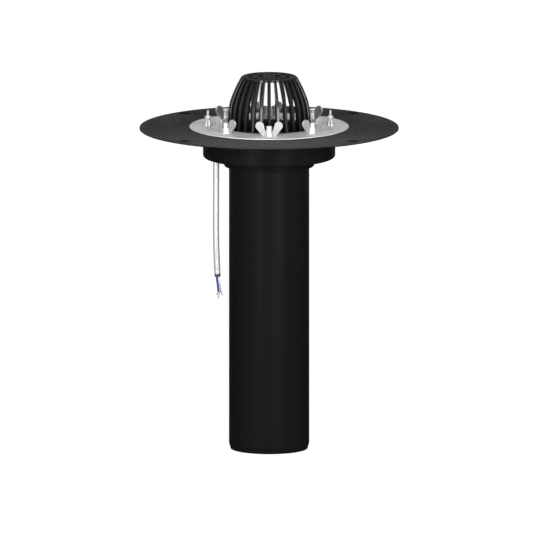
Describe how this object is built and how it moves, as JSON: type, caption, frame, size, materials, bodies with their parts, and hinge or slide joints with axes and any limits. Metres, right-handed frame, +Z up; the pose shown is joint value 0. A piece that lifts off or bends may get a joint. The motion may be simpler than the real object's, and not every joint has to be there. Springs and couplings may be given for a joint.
{
  "type": "flat roof drain",
  "caption": "Vertical flat roof drain with a wide grooved flange, clamping ring held by wing nuts, slotted leaf guard, heated insulated body and a long outlet pipe.",
  "frame": {"origin": "centre of the outlet pipe's lower end", "axes": "+Z up along the outlet pipe, -Y towards the front, -X towards the heating cable"},
  "size_m": [0.3552, 0.3552, 0.5161],
  "materials": {
    "pipe_plastic": "extruded polyethylene, satin",
    "body_plastic": "moulded polypropylene, satin",
    "casing_plastic": "moulded polypropylene, satin",
    "guard_plastic": "moulded polypropylene, glossy",
    "seal_rubber": "moulded rubber",
    "gasket_rubber": "flat rubber sheet",
    "ring_steel": "polished stainless steel",
    "stud_steel": "stainless steel, rolled thread",
    "nut_steel": "bright stainless steel, pressed and tumbled",
    "foam": "closed-cell insulation foam",
    "heater_metal": "heating band with moulded terminal block",
    "cable_sheath": "light grey cable sheath",
    "sleeve_blue": "dark blue shrunk sleeve",
    "core_dark_blue": "dark blue core insulation",
    "core_pale_blue": "pale blue core insulation",
    "core_grey": "pale grey core insulation"
  },
  "bodies": {
    "drain": {"outlet_pipe": "pipe_plastic", "pipe_seal_ring": "seal_rubber", "seal_retainer": "body_plastic", "drain_body": "body_plastic", "sealing_gasket": "gasket_rubber", "clamp_ring": "ring_steel", "insulation_casing": "casing_plastic", "insulation_foam": "foam", "heating_element": "heater_metal", "heater_lead": "cable_sheath", "cable_grommet": "seal_rubber", "heating_cable": "cable_sheath", "cable_end_sleeve": "sleeve_blue", "cable_core_dark": "core_dark_blue", "cable_core_pale": "core_pale_blue", "cable_core_grey": "core_grey", "stud_1": "stud_steel", "stud_2": "stud_steel", "stud_3": "stud_steel", "stud_4": "stud_steel", "stud_5": "stud_steel", "stud_6": "stud_steel", "stud_7": "stud_steel", "stud_8": "stud_steel"},
    "guard": {"leaf_guard": "guard_plastic"},
    "nut_1": {"wing_nut_1": "nut_steel"},
    "nut_2": {"wing_nut_2": "nut_steel"},
    "nut_3": {"wing_nut_3": "nut_steel"},
    "nut_4": {"wing_nut_4": "nut_steel"},
    "nut_5": {"wing_nut_5": "nut_steel"},
    "nut_6": {"wing_nut_6": "nut_steel"},
    "nut_7": {"wing_nut_7": "nut_steel"},
    "nut_8": {"wing_nut_8": "nut_steel"}
  },
  "joints": [
    {"name": "leaf_guard_lift", "type": "slide", "parent": "drain", "child": "guard", "axis": [0, 0, 1], "range_m": [0, 0.04]},
    {"name": "wing_nut_1_turn", "type": "hinge", "parent": "drain", "child": "nut_1", "pos_m": [0, -0.0839, 0.4472], "axis": [0, 0, 1], "continuous": true},
    {"name": "wing_nut_2_turn", "type": "hinge", "parent": "drain", "child": "nut_2", "pos_m": [0.05933, -0.05933, 0.4472], "axis": [0, 0, 1], "continuous": true},
    {"name": "wing_nut_3_turn", "type": "hinge", "parent": "drain", "child": "nut_3", "pos_m": [0.0839, 0, 0.4472], "axis": [0, 0, 1], "continuous": true},
    {"name": "wing_nut_4_turn", "type": "hinge", "parent": "drain", "child": "nut_4", "pos_m": [0.05933, 0.05933, 0.4472], "axis": [0, 0, 1], "continuous": true},
    {"name": "wing_nut_5_turn", "type": "hinge", "parent": "drain", "child": "nut_5", "pos_m": [0, 0.0839, 0.4472], "axis": [0, 0, 1], "continuous": true},
    {"name": "wing_nut_6_turn", "type": "hinge", "parent": "drain", "child": "nut_6", "pos_m": [-0.05933, 0.05933, 0.4472], "axis": [0, 0, 1], "continuous": true},
    {"name": "wing_nut_7_turn", "type": "hinge", "parent": "drain", "child": "nut_7", "pos_m": [-0.0839, 0, 0.4472], "axis": [0, 0, 1], "continuous": true},
    {"name": "wing_nut_8_turn", "type": "hinge", "parent": "drain", "child": "nut_8", "pos_m": [-0.05933, -0.05933, 0.4472], "axis": [0, 0, 1], "continuous": true}
  ]
}
